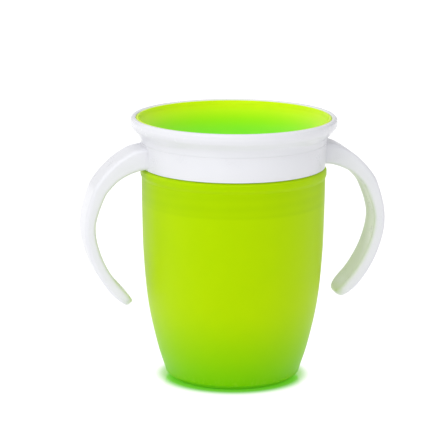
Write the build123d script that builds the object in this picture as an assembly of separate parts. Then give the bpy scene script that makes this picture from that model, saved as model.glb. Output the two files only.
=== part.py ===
"""Sippy cup: a green cup, a white screw-in lid with a dished silicone drinking valve, and two handles.

Millimetres. Z is the cup's axis and points up. The origin is the middle of the base, on the surface
that the cup stands on. The handles lie along X. Every profile below is a list of (radius, height).
"""
import os

from build123d import *

# ---- Driving dimensions ------------------------------------------------------------------------
HEIGHT = 105.5            # base to the crest of the drinking rim
LIP_TOP = 85.6            # top of the cup's own lip
SEAM_GAP = 0.15           # gap between two mouldings that bear on each other

# Cup
CUP_TOP_R = 36.5          # outside, just under the lip
WALL = 1.75
LIP_BEAD_R = 36.95
FOOT_R = 24.0             # outer edge of the ring that the cup stands on
FOOT_WIDTH = 3.0
BASE_HOLLOW = 0.8         # how far the middle of the base is raised
FLOOR_TOP = 2.6
CUP_BORE_R = CUP_TOP_R - WALL
BORE_BOTTOM = 72.0

# Screw thread between the lid's skirt and the cup's bore: one right-handed start
PITCH = 4.2
RIDGE_HEIGHT = 0.8
RIDGE_BASE = 1.8
RIDGE_CREST = 0.9
RIDGE_ROOT = 0.25         # how far a ridge is sunk in its wall
RIDGE_GAP = 0.15          # axial gap between the two flanks that bear on each other
CUP_RIDGE_BOTTOM = 75.6
CUP_RIDGE_TURNS = 1.5
LID_RIDGE_TURNS = 1.75

# Lid
SLEEVE_R = 34.45          # the part of the lid that the handle ring sits round
SKIRT_R = 33.65
SKIRT_INNER_R = 32.05
SKIRT_BOTTOM = 73.4
RIM_R = 41.1              # widest point of the drinking rim
RIM_WIDEST_Z = 103.2
RIM_CREST_R = 40.0
SEAT_R = 38.95            # inner side of the rim, against the valve's edge
WEB_TOP = 90.0
WEB_THICKNESS = 2.0
HUB_R = 8.0
HUB_BOTTOM = 86.4
HUB_BORE_R = 4.0
SLOT_COUNT = 6
SLOT_INNER_R = 17.0
SLOT_OUTER_R = 27.0
SLOT_ANGLE = 38.0

# Seal
SEAL_BOTTOM = 83.75
SEAL_TOP = 85.25
SEAL_GROOVE_R = 32.85
SEAL_CLEARANCE = 0.05

# Handle ring
BAND_BOTTOM = LIP_TOP + SEAM_GAP
BAND_TOP = 95.45
BAND_BORE_R = CUP_BORE_R
BAND_BOTTOM_R = 36.5
BAND_TOP_R = 36.9
STRAP_WIDTH = 15.5
STRAP_ROOT = (35.3, 90.75)
STRAP_EDGE_ROUND = 1.5
STRAP_TIP_ROUND = 8.0     # length over which the free end rounds off
STRAP_TIP_POWER = 3.0     # 2 would be a half round, seen flat on; more is blunter
HOLLOW_WIDTH = 11.2       # shallow hollow along a handle's inner face, for the fingers
HOLLOW_DEPTH = 0.8

# Valve
VALVE_EDGE_R = 38.75
VALVE_EDGE_TOP = 105.2
VALVE_FLOOR = 92.4        # upper side of the dish's floor
VALVE_SKIN = 1.7
STEM_R = 3.4
BULB_R = 3.9
STEM_BOTTOM = 83.0


# ---- Helpers -----------------------------------------------------------------------------------
def turned(*edges):
    """Close a profile drawn as (radius, height) and turn it round Z."""
    return revolve(Plane.XZ * make_face(Wire(edges)), Axis.Z)


def ridge(wall_r, crest_r, bottom_z, turns):
    """A helical thread ridge that stands on wall_r and reaches crest_r.

    bottom_z is the height of the ridge's middle where it starts, on +X.
    """
    outward = 1 if crest_r > wall_r else -1
    root_r = wall_r - outward * RIDGE_ROOT
    path = Helix(pitch=PITCH, height=PITCH * turns, radius=wall_r, center=(0, 0, bottom_z))
    section = Polyline(
        (root_r, bottom_z - RIDGE_BASE / 2),
        (crest_r, bottom_z - RIDGE_CREST / 2),
        (crest_r, bottom_z + RIDGE_CREST / 2),
        (root_r, bottom_z + RIDGE_BASE / 2),
        close=True,
    )
    return sweep(Plane.XZ * make_face(section), path=path, is_frenet=True)


def between(table, at):
    """Read a table of (place, value) at a place, in straight lines from row to row."""
    for (low, low_value), (high, high_value) in zip(table, table[1:]):
        if at <= high:
            return low_value + (high_value - low_value) * (at - low) / (high - low)
    return table[-1][1]


# ---- Cup ---------------------------------------------------------------------------------------
def make_cup():
    wall_foot = (FOOT_R + 2.9, 2.6)
    outside = [wall_foot, (30.3, 13.6), (33.95, 31.0), (35.75, 50.0), (CUP_TOP_R, 79.0)]
    inside = [(CUP_BORE_R - 0.35, BORE_BOTTOM - 1.5), (33.95, 50.0), (32.15, 31.0), (28.5, 13.6), (25.6, 6.2)]
    bead_bottom = (CUP_TOP_R, 81.2)
    bead_side = (LIP_BEAD_R, 83.4)
    lip_outer = (LIP_BEAD_R - 0.85, LIP_TOP)
    lip_inner = (CUP_BORE_R + 0.4, LIP_TOP)
    floor_edge = (FOOT_R - 2.2, FLOOR_TOP)
    foot_inner = FOOT_R - FOOT_WIDTH
    body = turned(
        Line((0, BASE_HOLLOW), (foot_inner - 1.2, BASE_HOLLOW)),
        Spline((foot_inner - 1.2, BASE_HOLLOW), (foot_inner, 0), tangents=[(1, 0), (1, 0)]),
        Line((foot_inner, 0), (FOOT_R, 0)),
        Spline((FOOT_R, 0), wall_foot, tangents=[(1, 0), (0.33, 1)]),
        Spline(outside, tangents=[(0.33, 1), (0.015, 1)]),
        Line(outside[-1], bead_bottom),
        Spline(bead_bottom, bead_side, lip_outer, tangents=[(0.1, 1), (0, 1), (-1, 0)]),
        Line(lip_outer, lip_inner),
        Line(lip_inner, (CUP_BORE_R, LIP_TOP - 0.4)),
        Line((CUP_BORE_R, LIP_TOP - 0.4), (CUP_BORE_R, BORE_BOTTOM)),
        Line((CUP_BORE_R, BORE_BOTTOM), inside[0]),
        Spline(inside, tangents=[(-0.02, -1), (-0.45, -1)]),
        Spline(inside[-1], floor_edge, tangents=[(-0.45, -1), (-1, 0)]),
        Line(floor_edge, (0, FLOOR_TOP)),
        Line((0, FLOOR_TOP), (0, BASE_HOLLOW)),
    )
    thread = ridge(CUP_BORE_R, CUP_BORE_R - RIDGE_HEIGHT, CUP_RIDGE_BOTTOM, CUP_RIDGE_TURNS)
    return body + thread


# ---- Lid: rim, sleeve, web and threaded skirt in one moulding ----------------------------------
def make_lid():
    shoulder = BAND_TOP + SEAM_GAP
    web_bottom = WEB_TOP - WEB_THICKNESS
    rim_side = (RIM_R, RIM_WIDEST_Z)
    rim_crest = (RIM_CREST_R, HEIGHT)
    seat_top = (SEAT_R, HEIGHT - 1.1)
    seat_bottom = (SEAT_R, HEIGHT - 1.8)
    flare = [(BAND_TOP_R, shoulder), (37.5, 97.9), (39.2, 100.1), rim_side]
    throat = [seat_bottom, (37.0, 100.6), (34.0, 96.8), (SKIRT_INNER_R, WEB_TOP + 3.0)]
    groove_r = SEAL_GROOVE_R
    body = turned(
        Line((SKIRT_INNER_R, SKIRT_BOTTOM), (SKIRT_R - 0.4, SKIRT_BOTTOM)),
        Line((SKIRT_R - 0.4, SKIRT_BOTTOM), (SKIRT_R, SKIRT_BOTTOM + 0.4)),
        Line((SKIRT_R, SKIRT_BOTTOM + 0.4), (SKIRT_R, SEAL_BOTTOM - SEAL_CLEARANCE)),
        Line((SKIRT_R, SEAL_BOTTOM - SEAL_CLEARANCE), (groove_r, SEAL_BOTTOM - SEAL_CLEARANCE)),
        Line((groove_r, SEAL_BOTTOM - SEAL_CLEARANCE), (groove_r, SEAL_TOP + SEAL_CLEARANCE)),
        Line((groove_r, SEAL_TOP + SEAL_CLEARANCE), (SLEEVE_R, SEAL_TOP + SEAL_CLEARANCE)),
        Line((SLEEVE_R, SEAL_TOP + SEAL_CLEARANCE), (SLEEVE_R, shoulder)),
        Line((SLEEVE_R, shoulder), flare[0]),
        Spline(flare, tangents=[(0.12, 1), (0, 1)]),
        Spline(rim_side, rim_crest, tangents=[(0, 1), (-1, 0)]),
        Spline(rim_crest, seat_top, tangents=[(-1, 0), (0, -1)]),
        Line(seat_top, seat_bottom),
        Spline(throat, tangents=[(-0.2, -1), (-0.1, -1)]),
        Line(throat[-1], (SKIRT_INNER_R, WEB_TOP)),
        Line((SKIRT_INNER_R, WEB_TOP), (HUB_BORE_R, WEB_TOP)),
        Line((HUB_BORE_R, WEB_TOP), (HUB_BORE_R, HUB_BOTTOM)),
        Line((HUB_BORE_R, HUB_BOTTOM), (HUB_R - 1.0, HUB_BOTTOM)),
        Line((HUB_R - 1.0, HUB_BOTTOM), (HUB_R, web_bottom)),
        Line((HUB_R, web_bottom), (SKIRT_INNER_R - 1.5, web_bottom)),
        Line((SKIRT_INNER_R - 1.5, web_bottom), (SKIRT_INNER_R, web_bottom - 1.5)),
        Line((SKIRT_INNER_R, web_bottom - 1.5), (SKIRT_INNER_R, SKIRT_BOTTOM)),
    )
    slot_middle = (SLOT_INNER_R + SLOT_OUTER_R) / 2
    slot_face = Pos(slot_middle, WEB_TOP - WEB_THICKNESS / 2) * RectangleRounded(
        SLOT_OUTER_R - SLOT_INNER_R, WEB_THICKNESS + 2.0, 0.5
    )
    slot = revolve(Plane.XZ * slot_face, Axis.Z, revolution_arc=SLOT_ANGLE)
    for index in range(SLOT_COUNT):
        body -= Rot(0, 0, index * 360 / SLOT_COUNT) * slot
    ridge_drop = (RIDGE_BASE + RIDGE_CREST) / 2 + RIDGE_GAP
    lid_ridge_bottom = CUP_RIDGE_BOTTOM - ridge_drop + PITCH / 4
    thread = ridge(SKIRT_R, SKIRT_R + RIDGE_HEIGHT, lid_ridge_bottom, LID_RIDGE_TURNS)
    return body + Rot(0, 0, 90) * thread


# ---- Seal: a ring in the groove over the lid's thread ------------------------------------------
def make_lid_seal():
    inner_r = SEAL_GROOVE_R + SEAL_CLEARANCE
    outer_r = CUP_BORE_R - SEAL_CLEARANCE
    height = SEAL_TOP - SEAL_BOTTOM
    section = RectangleRounded(outer_r - inner_r, height, 0.35)
    return revolve(Plane.XZ * Pos((inner_r + outer_r) / 2, (SEAL_BOTTOM + SEAL_TOP) / 2) * section, Axis.Z)


# ---- Handle ring: a band with two strap handles, in one moulding -------------------------------
# A handle's middle line as (x, z), and its thickness at fractions of that line's length
STRAP_LINE = [
    STRAP_ROOT,
    (40.3, 89.8),
    (46.6, 86.6),
    (51.4, 82.4),
    (55.2, 77.0),
    (58.7, 63.9),
    (56.4, 51.6),
    (50.3, 40.3),
    (42.2, 31.8),
]
STRAP_THICKNESS = [(0.0, 8.7), (0.07, 8.2), (0.2, 6.2), (0.35, 5.2), (0.5, 4.4), (0.75, 4.6), (0.9, 4.6), (1.0, 3.8)]
HOLLOW_START = 0.22
HOLLOW_END = 0.95
HOLLOW_FADE = 7.0


def strap_plane(line, at):
    """A plane across the handle: its x runs across the width, its y points away from the cup."""
    return Plane(origin=line @ at, x_dir=(0, 1, 0), z_dir=line % at)


def rounded_end(length, distance_left, power=2.0):
    """How wide an end still is, as a part of its full width, this far before it ends."""
    short = max(length - distance_left, 0) / length
    return (1 - short**power) ** (1 / power)


def make_strap():
    line = Spline([(x, 0, z) for x, z in STRAP_LINE], tangents=[(1, 0, -0.03), (-0.68, 0, -0.73)])
    stations = [0, 0.07, 0.14, 0.22, 0.3, 0.4, 0.5, 0.6, 0.7, 0.8]
    stations += [1 - left / line.length for left in (10, 8, 6, 4, 2.4, 1.2, 0.45, 0.1)]
    sections = []
    for at in stations:
        end_width = rounded_end(STRAP_TIP_ROUND, (1 - at) * line.length, STRAP_TIP_POWER)
        width = STRAP_WIDTH * end_width
        thickness = between(STRAP_THICKNESS, at) * end_width**0.5
        corner = min(STRAP_EDGE_ROUND, 0.44 * thickness, 0.44 * width)
        sections.append(strap_plane(line, at) * RectangleRounded(width, thickness, corner))
    strap = loft(sections)

    hollow_sections = []
    hollow_length = (HOLLOW_END - HOLLOW_START) * line.length
    for step in (0.01, 0.05, 0.1, 0.2, 0.35, 0.5, 0.65, 0.8, 0.9, 0.95, 0.99):
        at = HOLLOW_START + (HOLLOW_END - HOLLOW_START) * step
        nearest_end = min(step, 1 - step) * hollow_length
        fade = rounded_end(HOLLOW_FADE, nearest_end)
        section = Ellipse(HOLLOW_WIDTH / 2 * fade, HOLLOW_DEPTH * fade)
        inner_face = -between(STRAP_THICKNESS, at) / 2
        hollow_sections.append(strap_plane(line, at) * Pos(0, inner_face) * section)
    return strap - loft(hollow_sections)


def make_handle_ring():
    band = turned(
        Line((BAND_BORE_R, BAND_BOTTOM), (BAND_BOTTOM_R - 0.3, BAND_BOTTOM)),
        Line((BAND_BOTTOM_R - 0.3, BAND_BOTTOM), (BAND_BOTTOM_R, BAND_BOTTOM + 0.3)),
        Line((BAND_BOTTOM_R, BAND_BOTTOM + 0.3), (BAND_TOP_R, BAND_TOP - 0.2)),
        Line((BAND_TOP_R, BAND_TOP - 0.2), (BAND_TOP_R - 0.2, BAND_TOP)),
        Line((BAND_TOP_R - 0.2, BAND_TOP), (BAND_BORE_R, BAND_TOP)),
        Line((BAND_BORE_R, BAND_TOP), (BAND_BORE_R, BAND_BOTTOM)),
    )
    strap = make_strap()
    return band + strap + Rot(0, 0, 180) * strap


# ---- Drinking valve: dish, stem and bulb in one moulding ---------------------------------------
def make_drinking_valve():
    edge_top = (VALVE_EDGE_R - 0.7, VALVE_EDGE_TOP)
    edge_side = (VALVE_EDGE_R, VALVE_EDGE_TOP - 0.7)
    dish = [edge_top, (35.3, 101.6), (30.0, 97.0), (22.0, 93.5), (14.0, VALVE_FLOOR)]
    under_floor = VALVE_FLOOR - VALVE_SKIN
    underside = [(14.0, under_floor), (22.6, 91.9), (31.0, 95.5), (36.0, 99.9), (VALVE_EDGE_R - 0.4, 103.6)]
    button_r = STEM_R + 2.6
    button_top = VALVE_FLOOR - 1.0
    return turned(
        Line((0, STEM_BOTTOM), (STEM_R - 1.0, STEM_BOTTOM)),
        Line((STEM_R - 1.0, STEM_BOTTOM), (BULB_R, STEM_BOTTOM + 2.0)),
        Line((BULB_R, STEM_BOTTOM + 2.0), (BULB_R, HUB_BOTTOM - 0.3)),
        Line((BULB_R, HUB_BOTTOM - 0.3), (STEM_R, HUB_BOTTOM + 0.2)),
        Line((STEM_R, HUB_BOTTOM + 0.2), (STEM_R, under_floor)),
        Line((STEM_R, under_floor), underside[0]),
        Spline(underside, tangents=[(1, 0), (0.55, 1)]),
        Line(underside[-1], edge_side),
        Spline(edge_side, edge_top, tangents=[(0, 1), (-0.75, -1)]),
        Spline(dish, tangents=[(-0.75, -1), (-1, 0)]),
        Line(dish[-1], (button_r + 0.8, VALVE_FLOOR)),
        Line((button_r + 0.8, VALVE_FLOOR), (button_r, button_top)),
        Line((button_r, button_top), (0, button_top)),
        Line((0, button_top), (0, STEM_BOTTOM)),
    )


# ---- Write one file for each piece -------------------------------------------------------------
PIECES = {
    "cup": make_cup,
    "lid": make_lid,
    "lid_seal": make_lid_seal,
    "handle_ring": make_handle_ring,
    "drinking_valve": make_drinking_valve,
}

os.makedirs("parts", exist_ok=True)
for name, make in PIECES.items():
    piece = make()
    export_step(piece, f"parts/{name}.step")
    print(name, "solids", len(piece.solids()), "volume", round(piece.volume, 1), "valid", piece.is_valid)
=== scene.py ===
# %% [markdown]
# # A two-handled sippy cup
#
# The cup comes apart into five mouldings: a frosted green cup, a white lid that screws into it, a soft
# seal, a white ring that carries both handles, and a dished silicone valve that closes the mouth.
# The drinker's lip bends the valve's edge down and the drink comes past the rim, all the way round.
#
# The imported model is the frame. It says where every piece is and how it moves, so this file only
# makes the pieces look right, in metres, in that same frame.

# %% Load the frame
import math

import bmesh
import bpy
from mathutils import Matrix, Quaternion, Vector


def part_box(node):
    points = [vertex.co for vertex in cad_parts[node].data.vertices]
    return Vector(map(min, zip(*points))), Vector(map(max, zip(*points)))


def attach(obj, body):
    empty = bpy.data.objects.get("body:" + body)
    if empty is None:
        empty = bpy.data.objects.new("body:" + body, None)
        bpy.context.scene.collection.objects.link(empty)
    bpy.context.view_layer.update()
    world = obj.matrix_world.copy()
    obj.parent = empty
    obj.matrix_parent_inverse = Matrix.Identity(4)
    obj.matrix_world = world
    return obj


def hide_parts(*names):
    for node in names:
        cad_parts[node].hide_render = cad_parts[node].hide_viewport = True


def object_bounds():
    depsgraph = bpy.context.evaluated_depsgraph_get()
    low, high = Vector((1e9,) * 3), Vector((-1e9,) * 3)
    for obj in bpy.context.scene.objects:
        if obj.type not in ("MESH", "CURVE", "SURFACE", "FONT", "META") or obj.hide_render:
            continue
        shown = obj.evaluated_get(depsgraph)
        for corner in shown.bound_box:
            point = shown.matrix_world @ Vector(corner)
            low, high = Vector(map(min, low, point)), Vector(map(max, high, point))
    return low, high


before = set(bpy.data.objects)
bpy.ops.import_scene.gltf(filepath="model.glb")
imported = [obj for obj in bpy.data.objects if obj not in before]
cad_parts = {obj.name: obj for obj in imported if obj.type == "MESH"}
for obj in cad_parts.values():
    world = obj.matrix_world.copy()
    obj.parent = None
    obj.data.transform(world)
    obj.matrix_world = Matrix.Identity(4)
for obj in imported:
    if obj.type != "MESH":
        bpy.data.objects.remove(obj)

cad_low, cad_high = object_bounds()
print("size in mm:", [round(side * 1000, 1) for side in cad_high - cad_low])

# %% [markdown]
# ## Outlines
#
# Nearly every piece of a cup is a body of revolution: an outline of (radius, height) turned round Z.
# A modeller would draw the outline with a few points and let curves do the rest. Two helpers are
# enough. `through` runs a smooth curve through points, for walls that bend slowly. `cornered` joins
# points with straight lines and rounds each corner by its own radius, because no moulded edge is sharp
# and a rounded edge is what catches the light.

# %% Outline helpers
MM = 0.001
CURVE_STEPS = 8
CORNER_STEPS = 5


def through(points, steps=CURVE_STEPS):
    """A smooth curve through points, with each step's slope taken from the points on either side."""
    points = [Vector(p) for p in points]
    slopes = []
    for index in range(len(points)):
        before = points[max(index - 1, 0)]
        after = points[min(index + 1, len(points) - 1)]
        slopes.append((after - before) / max((after - before).length, 1e-9))
    curve = [points[0]]
    for a, b, slope_a, slope_b in zip(points, points[1:], slopes, slopes[1:]):
        reach = (b - a).length
        for step in range(1, steps + 1):
            t = step / steps
            rise = t * t * (3 - 2 * t)
            leave = t * (1 - t) ** 2 * reach
            arrive = t * t * (t - 1) * reach
            curve.append(a.lerp(b, rise) + slope_a * leave + slope_b * arrive)
    return curve


def cornered(points, loop=False):
    """Straight runs between (x, y, corner radius) points, with every corner rounded."""
    flat = [Vector(p[:2]) for p in points]
    curve = []
    for index, point in enumerate(points):
        corner = flat[index]
        radius = point[2] if len(point) > 2 else 0
        at_end = not loop and index in (0, len(points) - 1)
        if at_end or radius <= 0:
            curve.append(corner)
            continue
        back = flat[index - 1] - corner
        ahead = flat[(index + 1) % len(points)] - corner
        cut = radius / math.tan(back.angle(ahead) / 2)
        cut = min(cut, back.length * 0.49, ahead.length * 0.49)
        start = corner + back.normalized() * cut
        end = corner + ahead.normalized() * cut
        for step in range(CORNER_STEPS + 1):
            t = step / CORNER_STEPS
            curve.append(start.lerp(corner, t).lerp(corner.lerp(end, t), t))
    return curve


def rows(start, end, spacing):
    """Points evenly down a straight wall, so that relief has points to move."""
    count = max(2, round((Vector(end) - Vector(start)).length / spacing))
    return [Vector(start).lerp(Vector(end), step / count) for step in range(count + 1)]


def joined(*runs):
    """One outline out of several runs, without the points that two runs share."""
    outline = []
    for run in runs:
        for point in run:
            point = Vector(point[:2])
            if not outline or (point - outline[-1]).length > 1e-4:
                outline.append(point)
    return outline


# %% [markdown]
# ## Turning an outline into a mesh
#
# A Screw modifier would turn the outline too, but a thread has to stand out from two of the walls, so the
# rings are laid here one by one. `relief` may push a point out or in by an amount that depends on its
# angle and height, and that is all a screw thread is.

# %% Lathe
SEGMENTS = 192
SHARP_ANGLE = 35
PITCH = 4.2
RIDGE_HEIGHT = 0.8
RIDGE_BASE = 1.8
RIDGE_CREST = 0.9
RIDGE_FADE = 0.07  # the share of a turn over which a ridge runs in and out


def add_piece(name, mesh_builder):
    """Make an object out of a bmesh, with smooth faces and creases where the surface really turns."""
    bmesh.ops.recalc_face_normals(mesh_builder, faces=mesh_builder.faces)
    mesh = bpy.data.meshes.new(name)
    mesh_builder.to_mesh(mesh)
    mesh_builder.free()
    mesh.shade_smooth()
    mesh.set_sharp_from_angle(angle=math.radians(SHARP_ANGLE))
    piece = bpy.data.objects.new(name, mesh)
    bpy.context.scene.collection.objects.link(piece)
    return piece


def turned(name, outline, relief=None, ring=False):
    """Turn an outline in mm round Z. A ring's closes on itself, any other starts and ends on the axis."""
    builder = bmesh.new()
    rings = []
    for radius, height in outline:
        if radius < 1e-4:
            rings.append([builder.verts.new((0, 0, height * MM))])
            continue
        loop = []
        for index in range(SEGMENTS):
            angle = 2 * math.pi * index / SEGMENTS
            r = radius + (relief(angle, radius, height) if relief else 0)
            spot = (r * math.cos(angle) * MM, r * math.sin(angle) * MM, height * MM)
            loop.append(builder.verts.new(spot))
        rings.append(loop)
    pairs = list(zip(rings, rings[1:]))
    if ring:
        pairs.append((rings[-1], rings[0]))
    for lower, upper in pairs:
        for index in range(SEGMENTS):
            after = (index + 1) % SEGMENTS
            corners = [lower[index % len(lower)], lower[after % len(lower)]]
            corners += [upper[after % len(upper)], upper[index % len(upper)]]
            corners = list(dict.fromkeys(corners))
            if len(corners) > 2:
                builder.faces.new(corners)
    return add_piece(name, builder)


def thread(start_angle, start_height, turns, height, wall):
    """Relief for one helical ridge on the wall of that radius. A minus height points inwards."""

    def relief(angle, radius, z):
        if abs(radius - wall) > 0.02:
            return 0
        turn = (angle - start_angle) / (2 * math.pi) % 1
        reach = 0
        while turn <= turns:
            off = abs(z - (start_height + PITCH * turn))
            flank = min(1, max(0, (RIDGE_BASE / 2 - off) / (RIDGE_BASE / 2 - RIDGE_CREST / 2)))
            ends = min(1, turn / RIDGE_FADE, (turns - turn) / RIDGE_FADE)
            reach = max(reach, flank * ends)
            turn += 1
        return height * reach

    return relief


# %% [markdown]
# ## Shader maths as plain expressions
#
# A finish is a small formula: a base value, plus a little noise, times a mask. `Field` wraps one output
# socket, so that formula can be written with + - * and each operator adds its Math node. Colours don't
# go through Math, which would turn them grey, so `Finish.blend` mixes them in a Mix node.

# %% Arithmetic on sockets
class Field:
    """One output socket of a finish, with arithmetic."""

    def __init__(self, finish, socket):
        self.finish = finish
        self.socket = socket

    def __add__(self, other):
        return self.finish.maths("ADD", self, other)

    def __sub__(self, other):
        return self.finish.maths("SUBTRACT", self, other)

    def __rsub__(self, other):
        return self.finish.maths("SUBTRACT", other, self)

    def __mul__(self, other):
        return self.finish.maths("MULTIPLY", self, other)

    __radd__ = __add__
    __rmul__ = __mul__


# %% [markdown]
# ## A material and what varies it
#
# `Finish` owns one Principled surface. Its constants are given once, by name. What varies over the surface
# comes from a few methods: noise of a given size in millimetres, a coordinate, a distance from the axis, and
# a soft step between two values. All of them read the piece's own coordinates, so the pattern stays on the
# piece when it moves.

# %% Finish
class Finish:
    """A material made of a Principled surface, and the nodes that vary it."""

    def __init__(self, name, **constants):
        self.material = bpy.data.materials.new(name)
        self.material.use_nodes = True
        self.tree = self.material.node_tree
        self.tree.nodes.clear()
        self.surface = self.tree.nodes.new("ShaderNodeBsdfPrincipled")
        output = self.tree.nodes.new("ShaderNodeOutputMaterial")
        self.tree.links.new(self.surface.outputs[0], output.inputs["Surface"])
        for socket, value in constants.items():
            socket = socket.replace("_", " ").title().replace("Ior", "IOR")
            self.surface.inputs[socket].default_value = value
        place = self.tree.nodes.new("ShaderNodeTexCoord")
        self.place = Field(self, place.outputs["Object"])

    def node(self, kind, settings=None, sockets=None, out=0):
        """Add a node: its settings first, then the values or links of its sockets."""
        made = self.tree.nodes.new(kind)
        for key, value in (settings or {}).items():
            setattr(made, key, value)
        for key, value in (sockets or {}).items():
            if isinstance(value, Field):
                self.tree.links.new(value.socket, made.inputs[key])
            else:
                made.inputs[key].default_value = value
        return Field(self, made.outputs[out])

    def noise(self, size_mm, detail=2.0, stretch=None):
        """Noise from 0 to 1 whose lumps are about size_mm across."""
        where = self.place
        if stretch:
            where = self.node("ShaderNodeMapping", None, {"Vector": where, "Scale": stretch})
        sockets = {"Vector": where, "Scale": 1 / (size_mm * MM), "Detail": detail}
        return self.node("ShaderNodeTexNoise", None, sockets)

    def between(self, field, low, high):
        """0 where a field is at low and 1 where it is at high, held there beyond."""
        sockets = {"Value": field, "From Min": low, "From Max": high}
        settings = {"clamp": True, "interpolation_type": "SMOOTHSTEP"}
        return self.node("ShaderNodeMapRange", settings, sockets)

    def axis(self, name):
        """One coordinate of the point, in metres."""
        return self.node("ShaderNodeSeparateXYZ", None, {0: self.place}, "XYZ".index(name))

    def from_axis(self):
        """How far the point is from the cup's axis, in metres."""
        flat_sockets = {0: self.place, 1: (1, 1, 0)}
        flat = self.node("ShaderNodeVectorMath", {"operation": "MULTIPLY"}, flat_sockets)
        return self.node("ShaderNodeVectorMath", {"operation": "LENGTH"}, {0: flat}, "Value")

    def maths(self, operation, first, second):
        """Any Math node of two values."""
        return self.node("ShaderNodeMath", {"operation": operation}, {0: first, 1: second})

    def turn_angle(self):
        """The angle of the point round the cup's axis, in radians."""
        return self.maths("ARCTAN2", self.axis("Y"), self.axis("X"))

    def blend(self, factor, first, second):
        """Mix two colours."""
        return self.node("ShaderNodeMix", {"data_type": "RGBA"}, {0: factor, 6: first, 7: second}, 2)

    def set(self, socket, field):
        """Let a field drive one socket of the surface."""
        self.tree.links.new(field.socket, self.surface.inputs[socket])

    def bump(self, field, height_mm):
        """Raise the surface by a field from 0 to 1, times height_mm."""
        sockets = {"Height": field, "Distance": height_mm * MM, "Strength": 1.0}
        self.set("Normal", self.node("ShaderNodeBump", None, sockets))


def dress(piece, finish):
    """Give a piece its finish."""
    piece.data.materials.clear()
    piece.data.materials.append(finish.material)
    print(piece.name, "has", len(piece.data.polygons), "faces and the finish", finish.material.name)


# %% [markdown]
# ## Frosted green polypropylene
#
# The cup is dyed right through and lets light in, which scatters in the wall and comes out again: that
# is subsurface scattering, and it makes the wall glow a little. Where the lid's skirt and thread stand
# behind the wall, soft slanted bands of painted shade darken the green: they are a sine of the height,
# shifted by the angle round the axis, with the thread's own pitch. The lower body is painted a darker,
# deeper green, partly for the thicker plastic at the foot and partly as painted shade. The mould was
# finely blasted, which gives a satin grain, and the foot is scuffed where it slides on tables. A lime tint
# on the reflection keeps the white room from turning the wall milky.

# %% Cup finish
# Painted shade of the lid's skirt and thread behind the wall starts at this height, in slanted darker bands.
SKIRT_SHADE_FROM = 71.5  # the height in mm from which the lid's skirt shows through the wall
LIME_DARK = (0.43, 0.67, 0.001, 1)
LIME_LIGHT = (0.46, 0.69, 0.001, 1)
# Partly the thicker plastic at the foot, partly painted shade: the lower body darkens to this green.
FOOT_GREEN_AND_SHADE = (0.17, 0.55, 0.001, 1)
# The green of the painted shade of the skirt and thread behind the wall.
SKIRT_SHADE_GREEN = (0.38, 0.62, 0.001, 1)
SCUFF_GREEN = (0.55, 0.80, 0.12, 1)

cup_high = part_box("cup")[1]
cup_green = Finish(
    "frosted green polypropylene",
    subsurface_weight=0.6,
    subsurface_radius=(1.0, 1.0, 0.2),
    subsurface_scale=0.003,
    specular_tint=(0.45, 0.9, 0.0, 1.0),
    specular_ior_level=0.3,
    ior=1.42,
)
grain = cup_green.noise(0.5, detail=3)
clouds = cup_green.noise(18, detail=2)
scuffs = cup_green.noise(1.2, detail=4, stretch=(1, 1, 0.12))
height = cup_green.axis("Z")
near_foot = 1 - cup_green.between(height, 0.0, 0.007)
scuffed = near_foot * cup_green.between(scuffs, 0.5, 0.62)
# Painted shade: slanted darker bands above the skirt's foot, at the thread's pitch.
skirt_shade_zone = cup_green.between(height, (SKIRT_SHADE_FROM - 0.7) * MM, (SKIRT_SHADE_FROM + 0.7) * MM)
helix = height * (2 * math.pi / (PITCH * MM)) - cup_green.turn_angle()
thread_shade_bands = cup_green.maths("SINE", helix, 0) * 0.5 + 0.5
lime = cup_green.blend(clouds, LIME_DARK, LIME_LIGHT)
# Painted shade, and the thicker plastic: darker green from 38 mm down to the foot.
deep_and_shaded = cup_green.blend(cup_green.between(height, -0.004, 0.038), FOOT_GREEN_AND_SHADE, lime)
with_thread_shade = cup_green.blend(skirt_shade_zone * (0.35 + thread_shade_bands * 0.25), deep_and_shaded, SKIRT_SHADE_GREEN)
cup_green.set("Base Color", cup_green.blend(scuffed * 0.12, with_thread_shade, SCUFF_GREEN))
cup_green.set("Roughness", 0.38 + clouds * 0.06 + grain * 0.05 + scuffed * 0.2)
cup_green.bump(grain * 0.8 + scuffed * 0.3, 0.02)

# %% [markdown]
# ## White polypropylene
#
# The lid and the handles are the same resin with white pigment. The lid's rim was polished in the mould
# so that it is smooth on the lips; the handles are a touch more satin. Both have a faint ripple, as
# moulded plastic shrinks unevenly, and hairline scratches that show mostly in the gloss.

# %% White finishes
WHITE_DULL = (0.755, 0.76, 0.80, 1)
WHITE_BRIGHT = (0.785, 0.79, 0.825, 1)
WHITE_WORN = (0.72, 0.72, 0.73, 1)


def white_plastic(name, gloss, ripple_mm, wear_low, wear_high):
    """White plastic that gets a bit worn from one distance from the axis in mm to another, and beyond."""
    finish = Finish(
        name,
        subsurface_weight=0.1,
        subsurface_radius=(1.0, 1.0, 1.0),
        subsurface_scale=0.0015,
        ior=1.49,
    )
    ripple = finish.noise(9, detail=1)
    grain = finish.noise(0.35, detail=2)
    scratches = finish.between(finish.noise(0.9, detail=4, stretch=(0.08, 1, 0.6)), 0.62, 0.70)
    worn = finish.between(finish.from_axis(), wear_low * MM, wear_high * MM) * scratches
    tint = finish.blend(ripple, WHITE_DULL, WHITE_BRIGHT)
    finish.set("Base Color", finish.blend(worn * 0.15, tint, WHITE_WORN))
    finish.set("Roughness", gloss + ripple * 0.05 + grain * 0.04 + worn * 0.2)
    finish.bump(ripple * 0.7 + grain * ripple_mm, 0.03)
    return finish


lid_white = white_plastic("glossy white polypropylene", 0.16, 0.06, 39.5, 41.0)
handle_white = white_plastic("satin white polypropylene", 0.24, 0.12, 57.0, 60.0)
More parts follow.
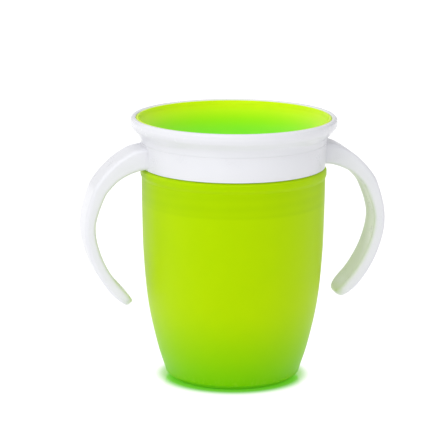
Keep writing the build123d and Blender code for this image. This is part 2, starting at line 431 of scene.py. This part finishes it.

# %% [markdown]
# ## Silicone
#
# The valve is a soft, clean silicone: the light goes a long way in, the surface is smooth but never as
# sharp as hard plastic, and flow lines from the middle of the mould leave faint rings. It is thick and
# deep green at its floor, and thin and nearly lime at its edge; its colour is painted darker low in the
# dish and paler up at the edge, partly for that thickness and partly as painted shade and painted light.
# The seal is undyed and milky.

# %% Silicone finishes
# Painted shade and painted light, partly the silicone's thickness: darker green low in the dish, paler lime
# at its edge.
DISH_PAINTED_LIGHT_FROM = 92.5  # the height in mm where the dish's green starts to turn to lime
DISH_FLOOR_GREEN_AND_SHADE = (0.16, 0.77, 0.004, 1)
DISH_EDGE_LIME_AND_LIGHT = (0.69, 0.95, 0.004, 1)
MOTTLE_GREEN = (0.36, 0.82, 0.008, 1)
DUST_GREEN = (0.6, 0.9, 0.3, 1)
MILK_DARK = (0.78, 0.80, 0.79, 1)
MILK_LIGHT = (0.84, 0.85, 0.84, 1)
FLOW_RINGS_PER_METRE = 700.0

valve_low, valve_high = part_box("drinking_valve")
valve_green = Finish(
    "glossy green silicone",
    subsurface_weight=0.35,
    subsurface_radius=(1.0, 1.0, 0.3),
    subsurface_scale=0.003,
    specular_tint=(0.6, 1.0, 0.1, 1.0),
    ior=1.38,
)
rings = valve_green.node(
    "ShaderNodeTexNoise",
    {"noise_dimensions": "1D"},
    {"W": valve_green.from_axis(), "Scale": FLOW_RINGS_PER_METRE, "Detail": 2.0},
)
mottle = valve_green.noise(6, detail=2)
dust = valve_green.between(valve_green.noise(0.6, detail=3), 0.66, 0.72)
# Painted shade low in the dish and painted light towards its edge.
up_the_dish_to_light = valve_green.between(valve_green.axis("Z"), DISH_PAINTED_LIGHT_FROM * MM, valve_high.z)
painted_light_to_edge = up_the_dish_to_light * (0.4 + up_the_dish_to_light * 0.6)
leaf_shade_and_light = valve_green.blend(painted_light_to_edge, DISH_FLOOR_GREEN_AND_SHADE, DISH_EDGE_LIME_AND_LIGHT)
fresh = valve_green.blend(mottle * 0.2, leaf_shade_and_light, MOTTLE_GREEN)
valve_green.set("Base Color", valve_green.blend(dust * 0.04, fresh, DUST_GREEN))
valve_green.set("Roughness", 0.3 + mottle * 0.06 + dust * 0.1)
valve_green.bump(rings * 0.5 + mottle * 0.5, 0.02)

seal_clear = Finish(
    "milky silicone",
    subsurface_weight=0.6,
    subsurface_radius=(1.0, 1.0, 1.0),
    subsurface_scale=0.002,
    transmission_weight=0.2,
    ior=1.43,
)
haze = seal_clear.noise(3, detail=2)
seal_clear.set("Base Color", seal_clear.blend(haze, MILK_DARK, MILK_LIGHT))
seal_clear.set("Roughness", 0.4 + haze * 0.1)
seal_clear.bump(haze, 0.02)

# %% [markdown]
# ## The cup
#
# The wall is a slow curve outside and in, about 1.75 mm apart, ending in a small bead at the lip. The bore
# above the bend is straight, because the lid screws into it, and carries one turn and a half of thread.

# %% Make the cup
LIP = cup_high.z / MM
BEAD_R = cup_high.x / MM
BORE_R = 34.75
FOOT_R = 24.0
FOOT_WIDTH = 3.0
HOLLOW = 0.8
FLOOR = 2.6

outside = through([(26.9, 2.6), (30.3, 13.6), (33.95, 31.0), (35.75, 50.0), (36.3, 66.0), (36.5, 79.0)])
foot = cornered(
    [(0, HOLLOW), (FOOT_R - FOOT_WIDTH - 0.9, HOLLOW, 0.5), (FOOT_R - FOOT_WIDTH, 0, 0.5)]
    + [(FOOT_R + 0.2, 0, 1.6), (26.75, 2.1, 2.0), (26.9, 2.6)]
)
bead = cornered(
    [(36.5, 79.0), (36.5, 81.3, 0.6), (BEAD_R, 82.6, 0.9), (BEAD_R, LIP - 0.9, 0.9), (35.9, LIP, 0.7)]
)
lip = cornered([(35.9, LIP), (BORE_R, LIP, 0.5), (BORE_R, LIP - 1.6)])
bore = rows((BORE_R, LIP - 1.6), (BORE_R, 73.0), 0.3)
inside = through([(BORE_R, 73.0), (34.4, 70.5), (33.95, 50.0), (32.15, 31.0), (28.5, 13.6), (25.6, 6.2)])
floor = cornered([(25.6, 6.2), (24.0, FLOOR, 3.0), (0, FLOOR)])
cup_thread = thread(start_angle=0, start_height=75.6, turns=1.5, height=-RIDGE_HEIGHT, wall=BORE_R)

cup = turned("green_cup", joined(foot, outside, bead, lip, bore, inside, floor), cup_thread)
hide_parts("cup")
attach(cup, "cup")
dress(cup, cup_green)

# %% [markdown]
# ## The lid
#
# One moulding does four jobs: the flared rim to drink from, a web across the inside that holds the valve, a
# sleeve that carries the handle ring, and the threaded skirt. Its outline runs once round all of them, so
# the lid is a ring whose outline closes on itself. The seat under the rim stays just clear of the valve's
# edge.

# %% Make the lid
lid_low, lid_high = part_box("lid")
RIM_R = lid_high.x / MM
CREST = lid_high.z / MM
SHOULDER = 95.6
SKIRT = lid_low.z / MM
SKIRT_R = 33.65
SKIRT_IN = 32.05
SLEEVE_R = 34.45
WEB = 90.0
HUB_BOTTOM = 86.4

RIM_WIDEST = CREST - 2.3
SEAT_R = valve_high.x / MM + 0.05

skirt_rows = rows((SKIRT_R, 73.9), (SKIRT_R, 83.3), 0.3)
lid_lower = cornered([(SKIRT_IN, 74.0), (SKIRT_IN, SKIRT, 0.4), (SKIRT_R, SKIRT, 0.4), (SKIRT_R, 73.9)])
groove = cornered(
    [(SKIRT_R, 83.3), (SKIRT_R, 83.7, 0.15), (32.85, 83.7, 0.2), (32.85, 85.3, 0.2), (SLEEVE_R, 85.3, 0.25)]
    + [(SLEEVE_R, SHOULDER, 0.2), (36.9, SHOULDER, 0.02), (36.905, SHOULDER + 0.05), (36.96, 95.9)]
)
flare = through(
    [(36.96, 95.9), (37.45, 97.9), (38.1, 98.9), (39.25, 100.1), (40.45, 101.4), (41.0, RIM_WIDEST - 0.7)]
)
rim = cornered(
    [(41.0, RIM_WIDEST - 0.7), (RIM_R, RIM_WIDEST, 0.5), (RIM_R - 0.1, CREST - 0.7, 1.3), (40.2, CREST)]
)
rim += cornered([(40.2, CREST), (39.2, CREST, 0.4), (SEAT_R, CREST - 0.4, 0.15), (SEAT_R, CREST - 1.8)])
throat = through([(SEAT_R, CREST - 1.8), (37.0, 100.6), (34.0, 96.8), (32.3, 94.2), (SKIRT_IN, 92.5)])
web = cornered(
    [(SKIRT_IN, 92.5), (SKIRT_IN, WEB, 0.8), (4.0, WEB, 0.3), (4.0, HUB_BOTTOM, 0.3), (7.0, HUB_BOTTOM, 0.4)]
    + [(8.0, WEB - 2, 0.5), (30.4, WEB - 2, 1.0), (SKIRT_IN, WEB - 3.6, 1.0), (SKIRT_IN, 84.0)]
)
inner_wall = rows((SKIRT_IN, 84.0), (SKIRT_IN, 74.0), 2.0)
lid_thread = thread(math.pi / 2, start_height=75.15, turns=1.75, height=RIDGE_HEIGHT, wall=SKIRT_R)
outline = joined(lid_lower, skirt_rows, groove, flare, rim, throat, web, inner_wall)
lid = turned("white_lid", outline[:-1], lid_thread, ring=True)

# %% [markdown]
# ## The slots in the web
#
# The web has six slots for the drink and a hub for the valve's stem. A slot is a piece of a ring with round
# ends. It is cut with a Boolean: on the real mould it is a core.

# %% Cut the slots
SLOTS = 6
SLOT_STEPS = 14
SLOT_FIRST = math.radians(19)
SLOT_SWEEP = math.radians(38)
SLOT_INNER = 17.0
SLOT_OUTER = 27.0
SLOT_POWER = 6  # the higher, the squarer a slot's ends
SLOT_END = 0.42  # how far each side of an end face draws in, as a share of the slot's width


def slot_cutter(middle, low, high):
    """A closed block in the shape of a piece of a ring, to cut one slot."""
    builder = bmesh.new()
    width = SLOT_OUTER - SLOT_INNER
    sections = []
    for step in range(SLOT_STEPS + 1):
        angle = middle + SLOT_SWEEP * (step / SLOT_STEPS - 0.5)
        off_middle = abs(2 * step / SLOT_STEPS - 1)
        narrow = 0.5 * width * (1 - math.sqrt(max(0, 1 - off_middle**SLOT_POWER)))
        narrow = min(narrow, SLOT_END * width)
        near = SLOT_INNER + narrow
        far = SLOT_OUTER - narrow
        section = []
        for r, z in ((near, low), (far, low), (far, high), (near, high)):
            section.append(builder.verts.new((r * math.cos(angle) * MM, r * math.sin(angle) * MM, z * MM)))
        sections.append(section)
    for a, b in zip(sections, sections[1:]):
        for side in range(4):
            builder.faces.new([a[side], a[(side + 1) % 4], b[(side + 1) % 4], b[side]])
    builder.faces.new(sections[0])
    builder.faces.new(sections[-1])
    return add_piece("slot_cutter", builder)


def apply_boolean(piece, tool, operation):
    """Combine two closed meshes and throw the tool away."""
    modifier = piece.modifiers.new("combine", "BOOLEAN")
    modifier.object = tool
    modifier.operation = operation
    modifier.solver = "EXACT"
    evaluated = piece.evaluated_get(bpy.context.evaluated_depsgraph_get())
    mesh = bpy.data.meshes.new_from_object(evaluated)
    piece.modifiers.clear()
    piece.data = mesh
    mesh.set_sharp_from_angle(angle=math.radians(SHARP_ANGLE))
    bpy.data.objects.remove(tool)


for index in range(SLOTS):
    cutter = slot_cutter(SLOT_FIRST + 2 * math.pi * index / SLOTS, WEB - 3, WEB + 1)
    apply_boolean(lid, cutter, "DIFFERENCE")
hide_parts("lid")
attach(lid, "lid")
dress(lid, lid_white)

# %% [markdown]
# ## The seal
#
# A soft ring in the groove over the thread. Two fine lips run round its outer side, as on any wiping
# seal.

# %% Make the seal
seal_low, seal_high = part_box("lid_seal")
SEAL_OUT = seal_high.x / MM
SEAL_IN = 32.9
seal_bottom = seal_low.z / MM
seal_top = seal_high.z / MM
seal_middle = (seal_bottom + seal_top) / 2
seal_outline = cornered(
    [(SEAL_IN, seal_bottom, 0.2), (SEAL_OUT - 0.25, seal_bottom, 0.1)]
    + [(SEAL_OUT, seal_bottom + 0.35, 0.15), (SEAL_OUT - 0.3, seal_middle, 0.15)]
    + [(SEAL_OUT, seal_top - 0.35, 0.15), (SEAL_OUT - 0.25, seal_top, 0.1), (SEAL_IN, seal_top, 0.2)],
    loop=True,
)
seal = turned("sealing_ring", joined(seal_outline), ring=True)
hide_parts("lid_seal")
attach(seal, "lid_seal")
dress(seal, seal_clear)

# %% [markdown]
# ## A handle's section
#
# A handle is a flat strap bent into a C. Its section is a rounded rectangle, and its inner face is
# slightly hollow with a rim on each side. The tables give its middle line as (x, z), and its thickness at
# fractions of that line's length: thick where it springs from the band, thinner towards its free end.

# %% Strap section
STRAP_WIDTH = 15.5
STRAP_LINE = [
    (35.3, 90.75),
    (40.3, 89.8),
    (46.6, 86.6),
    (51.4, 82.4),
    (55.2, 77.0),
    (58.7, 63.9),
    (56.4, 51.6),
    (50.3, 40.3),
    (42.2, 31.8),
]
STRAP_THICKNESS = [
    (0.0, 8.7),
    (0.07, 8.2),
    (0.2, 6.2),
    (0.35, 5.2),
    (0.5, 4.4),
    (0.75, 4.6),
    (0.9, 4.6),
    (1.0, 3.8),
]
STRAP_EDGE = 1.5
HOLLOW_WIDTH = 11.2
HOLLOW_DEPTH = 0.8
SECTION_CORNERS = ((1, 1, 0), (-1, 1, 90), (-1, -1, 180), (1, -1, 270))
SECTION_CORNER_STEPS = 6
FACE_STEPS = 12


def read_table(table, at):
    """The value at a position, on straight lines between the table's entries."""
    for (low, low_value), (high, high_value) in zip(table, table[1:]):
        if at <= high:
            return low_value + (high_value - low_value) * (at - low) / (high - low)
    return table[-1][1]


def strap_section(width, thickness, hollow):
    """Points round a strap's section: across the width, and away from the cup."""
    edge = min(STRAP_EDGE, 0.45 * thickness, 0.45 * width)
    half_w = width / 2
    half_t = thickness / 2
    points = []
    for corner_w, corner_t, begin in SECTION_CORNERS:
        for step in range(SECTION_CORNER_STEPS + 1):
            angle = math.radians(begin + 90 * step / SECTION_CORNER_STEPS)
            across = corner_w * (half_w - edge) + edge * math.cos(angle)
            out = corner_t * (half_t - edge) + edge * math.sin(angle)
            points.append((across, out))
        if begin in (90, 270):
            continue
        for step in range(1, FACE_STEPS):
            across = corner_w * (half_w - edge) * (1 - 2 * step / FACE_STEPS)
            dip = 0
            if begin == 180:
                inwards = min(1, abs(across) / (HOLLOW_WIDTH / 2))
                dip = hollow * (1 - inwards**2) ** 0.8
            points.append((across, corner_t * half_t + dip))
    return points


# %% [markdown]
# ## Sweeping the strap
#
# Blender's curve bevel can't change a section's shape along the way, so the strap's rings are laid one by
# one, like the lathe's. The stations crowd together towards the free end, where the strap rounds off. The
# free end is a superellipse, squarer than a half circle. The hollow starts and ends at fractions of the
# line's length, and runs in and out over others.

# %% Strap sweep
TIP_ROUND = 8.0
TIP_POWER = 3.0
HOLLOW_START = 0.2
HOLLOW_RUN_IN = 0.12
HOLLOW_END = 0.96
HOLLOW_RUN_OUT = 0.07
LINE_STEPS = 24
BODY_STATIONS = 56
TIP_STATIONS = 22
TIP_SHARE = 0.1


def make_strap(name):
    """One handle on the +X side, with its root inside the band."""
    line = through(STRAP_LINE, steps=LINE_STEPS)
    lengths = [0]
    for a, b in zip(line, line[1:]):
        lengths.append(lengths[-1] + (b - a).length)
    total = lengths[-1]
    stations = [(1 - TIP_SHARE) * step / BODY_STATIONS for step in range(BODY_STATIONS)]
    stations += [1 - TIP_SHARE * math.cos(math.pi / 2 * step / TIP_STATIONS) for step in range(TIP_STATIONS)]
    stations.append(1 - 0.05 / total)
    builder = bmesh.new()
    rings = []
    for at in stations:
        place = at * total
        index = min(len(line) - 2, max(i for i, run in enumerate(lengths) if run <= place + 1e-9))
        part = (place - lengths[index]) / (lengths[index + 1] - lengths[index])
        centre = line[index].lerp(line[index + 1], part)
        ahead = (line[min(index + 2, len(line) - 1)] - line[max(index - 1, 0)]).normalized()
        away = Vector((-ahead.y, ahead.x))
        into_tip = max(TIP_ROUND - (total - place), 0) / TIP_ROUND
        round_end = max(0.0, 1 - into_tip**TIP_POWER) ** (1 / TIP_POWER)
        width = STRAP_WIDTH * round_end
        thickness = read_table(STRAP_THICKNESS, at) * math.sqrt(round_end)
        fade = min(1.0, (at - HOLLOW_START) / HOLLOW_RUN_IN, (HOLLOW_END - at) / HOLLOW_RUN_OUT)
        fade = max(0.0, fade)
        hollow = HOLLOW_DEPTH * fade * fade * (3 - 2 * fade)
        loop = []
        for across, out in strap_section(width, thickness, hollow):
            spot = centre + away * out
            loop.append(builder.verts.new((spot.x * MM, across * MM, spot.y * MM)))
        rings.append(loop)
    for a, b in zip(rings, rings[1:]):
        for index in range(len(a)):
            after = (index + 1) % len(a)
            builder.faces.new([a[index], a[after], b[after], b[index]])
    builder.faces.new(rings[0])
    builder.faces.new(rings[-1])
    return add_piece(name, builder)


# %% [markdown]
# ## The handle ring
#
# The band is turned like the rest and closes up to the lid's shoulder, so the seam hardly shows. Both straps
# are the same shape, half a turn apart, and grow out of the band.

# %% Make the handle ring
BAND_BORE = 34.75
BAND_BOTTOM = LIP + 0.15
BAND_TOP = SHOULDER - 0.01

band_outline = cornered(
    [(BAND_BORE, BAND_BOTTOM, 0.2), (36.5, BAND_BOTTOM, 0.25), (36.897, BAND_TOP - 0.06)]
    + [(36.9, BAND_TOP, 0.02), (BAND_BORE, BAND_TOP, 0.2)],
    loop=True,
)
handle_ring = turned("handles_and_band", joined(band_outline), ring=True)
for side in (0, math.pi):
    strap = make_strap("strap")
    strap.rotation_euler.z = side
    bpy.context.view_layer.update()
    apply_boolean(handle_ring, strap, "UNION")
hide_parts("handle_ring")
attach(handle_ring, "handle_ring")
dress(handle_ring, handle_white)

# %% [markdown]
# ## The drinking valve
#
# A dish of silicone that fills the mouth. Its thin edge lies close inside the rim, its floor lies just over
# the web, and a stem with a bulb holds it in the hub. A round dimple marks the middle.

# %% Make the valve
EDGE_R = valve_high.x / MM
EDGE_TOP = valve_high.z / MM
STEM_LOW = valve_low.z / MM
DISH_FLOOR = 92.4
DIMPLE = DISH_FLOOR - 1.0

stem = cornered(
    [(0, STEM_LOW), (2.4, STEM_LOW, 0.8), (3.9, STEM_LOW + 2, 0.5), (3.9, HUB_BOTTOM - 0.3, 0.3)]
    + [(3.4, HUB_BOTTOM + 0.2, 0.2), (3.4, DISH_FLOOR - 1.7, 0.5), (14.0, DISH_FLOOR - 1.7)]
)
under = through(
    [(14.0, DISH_FLOOR - 1.7), (22.6, 91.9), (31.0, 95.5), (36.0, 99.9), (EDGE_R - 0.4, EDGE_TOP - 1.9)]
)
edge = cornered(
    [(EDGE_R - 0.4, EDGE_TOP - 1.9), (EDGE_R, EDGE_TOP - 1.0, 0.5), (EDGE_R - 0.1, EDGE_TOP, 0.5)]
    + [(EDGE_R - 0.9, EDGE_TOP, 0.4), (37.2, EDGE_TOP - 1.6)]
)
dish = through(
    [(37.2, EDGE_TOP - 1.6), (35.3, 101.6), (30.0, 97.0), (22.0, 93.5)]
    + [(14.0, DISH_FLOOR), (9.0, DISH_FLOOR)]
)
dimple = cornered([(9.0, DISH_FLOOR), (6.8, DISH_FLOOR, 0.4), (6.0, DIMPLE, 0.4), (0, DIMPLE)])
valve = turned("silicone_valve", joined(stem, under, edge, dish, dimple))
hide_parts("drinking_valve")
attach(valve, "drinking_valve")
dress(valve, valve_green)

# %% [markdown]
# ## The table
#
# The cup stands on a table that looks pure white. It glows white itself, so that no shadow dirties it, and
# its own colour is dark, so that little is mirrored in it. Close round the foot, painted shade and painted
# green light stand in for the contact shadow and for light that has come through the foot: the glow fades
# to a faint green, and the table is a dull mirror with a painted green tint, a painted reflection of the
# foot. That leaves a short green glow round the foot.

# %% Table
TABLE_SIZE = 6.0
GLOW_START = 0.0264
GLOW_FULL = 0.0328
# Painted green light and a painted reflection tint round the foot, in place of its contact shadow and
# reflection.
PAINTED_FOOT_GREEN_LIGHT = (0.08, 0.30, 0.01, 1)
TABLE_GLOW = (1, 1, 1, 1)
PAINTED_REFLECTION_DARK = (0.45, 0.60, 0.30, 1)
PAINTED_REFLECTION_LIGHT = (0.47, 0.62, 0.32, 1)
TABLE_GREY = (0.10, 0.10, 0.10, 1)

builder = bmesh.new()
bmesh.ops.create_grid(builder, x_segments=2, y_segments=2, size=TABLE_SIZE / 2)
table = add_piece("white_table", builder)
table_white = Finish("white table top", metallic=0.85, ior=1.5, emission_strength=1.0)
cloud = table_white.noise(60, detail=2)
# Painted shade and light: round the foot the glow dims to green and the table's colour turns green.
beyond_painted_foot_shade = table_white.between(table_white.from_axis(), GLOW_START, GLOW_FULL)
painted_reflection_tint = table_white.blend(cloud, PAINTED_REFLECTION_DARK, PAINTED_REFLECTION_LIGHT)
table_white.set("Base Color", table_white.blend(beyond_painted_foot_shade, painted_reflection_tint, TABLE_GREY))
table_white.set("Emission Color", table_white.blend(beyond_painted_foot_shade, PAINTED_FOOT_GREEN_LIGHT, TABLE_GLOW))
table_white.set("Roughness", 0.22 + cloud * 0.04)
table.data.materials.append(table_white.material)
print("table", TABLE_SIZE, "m wide, tinted green up to", round(GLOW_FULL / MM, 1), "mm from the axis")

# %% [markdown]
# ## The room
#
# A white room lights the cup from all sides. It is brightest overhead and darker low down, where it is
# mirrored in the cup's sides, and dimmer on the right, so that the left side is the lit one. The numbers
# are the height and the side of the direction that is looked in, from -1 to 1.

# %% Room light
HORIZON = 0.72
ZENITH = 1.05
LIT_SIDE = 1.0
DIM_SIDE = 0.62

world = bpy.data.worlds.new("white room")
bpy.context.scene.world = world
world.use_nodes = True
room = world.node_tree
direction = room.nodes.new("ShaderNodeSeparateXYZ")
room.links.new(room.nodes.new("ShaderNodeTexCoord").outputs["Generated"], direction.inputs[0])


def fade_along(axis, start, end, at_start, at_end):
    """A brightness that changes evenly along one axis of the direction."""
    fade = room.nodes.new("ShaderNodeMapRange")
    for socket, value in zip(("From Min", "From Max", "To Min", "To Max"), (start, end, at_start, at_end)):
        fade.inputs[socket].default_value = value
    room.links.new(direction.outputs[axis], fade.inputs["Value"])
    return fade.outputs[0]


brightness = room.nodes.new("ShaderNodeMath")
brightness.operation = "MULTIPLY"
room.links.new(fade_along("Z", 0.15, 0.75, HORIZON, ZENITH), brightness.inputs[0])
room.links.new(fade_along("X", -0.3, 0.8, LIT_SIDE, DIM_SIDE), brightness.inputs[1])
room.links.new(brightness.outputs[0], room.nodes["Background"].inputs["Color"])
bpy.context.scene.view_settings.view_transform = "Standard"
print("room brightness", HORIZON, "low down and", ZENITH, "overhead")

# %% [markdown]
# ## The lamps
#
# Two large soft boxes shape the cup: the key high on the left in front, and a wider one in front and above.
# They are so large that they leave no hard highlight on the satin wall.

# %% Lamps
def soft_lamp(name, place, aim, width, height, brightness):
    """A soft box. Its power grows with its area, so that brightness is how bright it looks."""
    lamp = bpy.data.lights.new(name, "AREA")
    lamp.shape = "RECTANGLE"
    lamp.size = width
    lamp.size_y = height
    lamp.energy = brightness * math.pi * width * height
    holder = bpy.data.objects.new(name, lamp)
    holder.location = place
    holder.rotation_euler = (Vector(aim) - Vector(place)).to_track_quat("-Z", "Y").to_euler()
    bpy.context.scene.collection.objects.link(holder)
    print(name, "of", width, "by", height, "m,", round(lamp.energy, 2), "W")


middle = (cad_low + cad_high) / 2
soft_lamp("key box", (-0.62, -0.62, 0.80), middle, 0.8, 0.7, 1.3)
soft_lamp("front top box", (-0.25, -0.8, 1.1), middle, 0.9, 0.7, 1.1)

# %% [markdown]
# ## The camera
#
# A long lens about a metre away looks down a little. It is turned by twelve degrees, so the left handle
# comes nearer and the inner face of the right one shows, and it is rolled by a third of a degree.

# %% Camera
CAMERA_TURN = math.radians(-12.0)
CAMERA_ROLL = math.radians(0.35)
CAMERA_AWAY = 0.975
CAMERA_HEIGHT = 0.280
AIM_HEIGHT = 0.0617
AIM_ASIDE = -0.00365
LENS = 201.0

right = Vector((math.cos(CAMERA_TURN), math.sin(CAMERA_TURN), 0))
back = Vector((math.sin(CAMERA_TURN), -math.cos(CAMERA_TURN), 0))
aim = right * AIM_ASIDE + Vector((0, 0, AIM_HEIGHT))
camera_data = bpy.data.cameras.new("camera")
camera_data.lens = LENS
camera = bpy.data.objects.new("camera", camera_data)
camera.location = right * AIM_ASIDE + back * CAMERA_AWAY + Vector((0, 0, CAMERA_HEIGHT))
looking = (aim - camera.location).to_track_quat("-Z", "Y")
camera.rotation_euler = (looking @ Quaternion((0, 0, 1), CAMERA_ROLL)).to_euler()
bpy.context.scene.collection.objects.link(camera)
bpy.context.scene.camera = camera
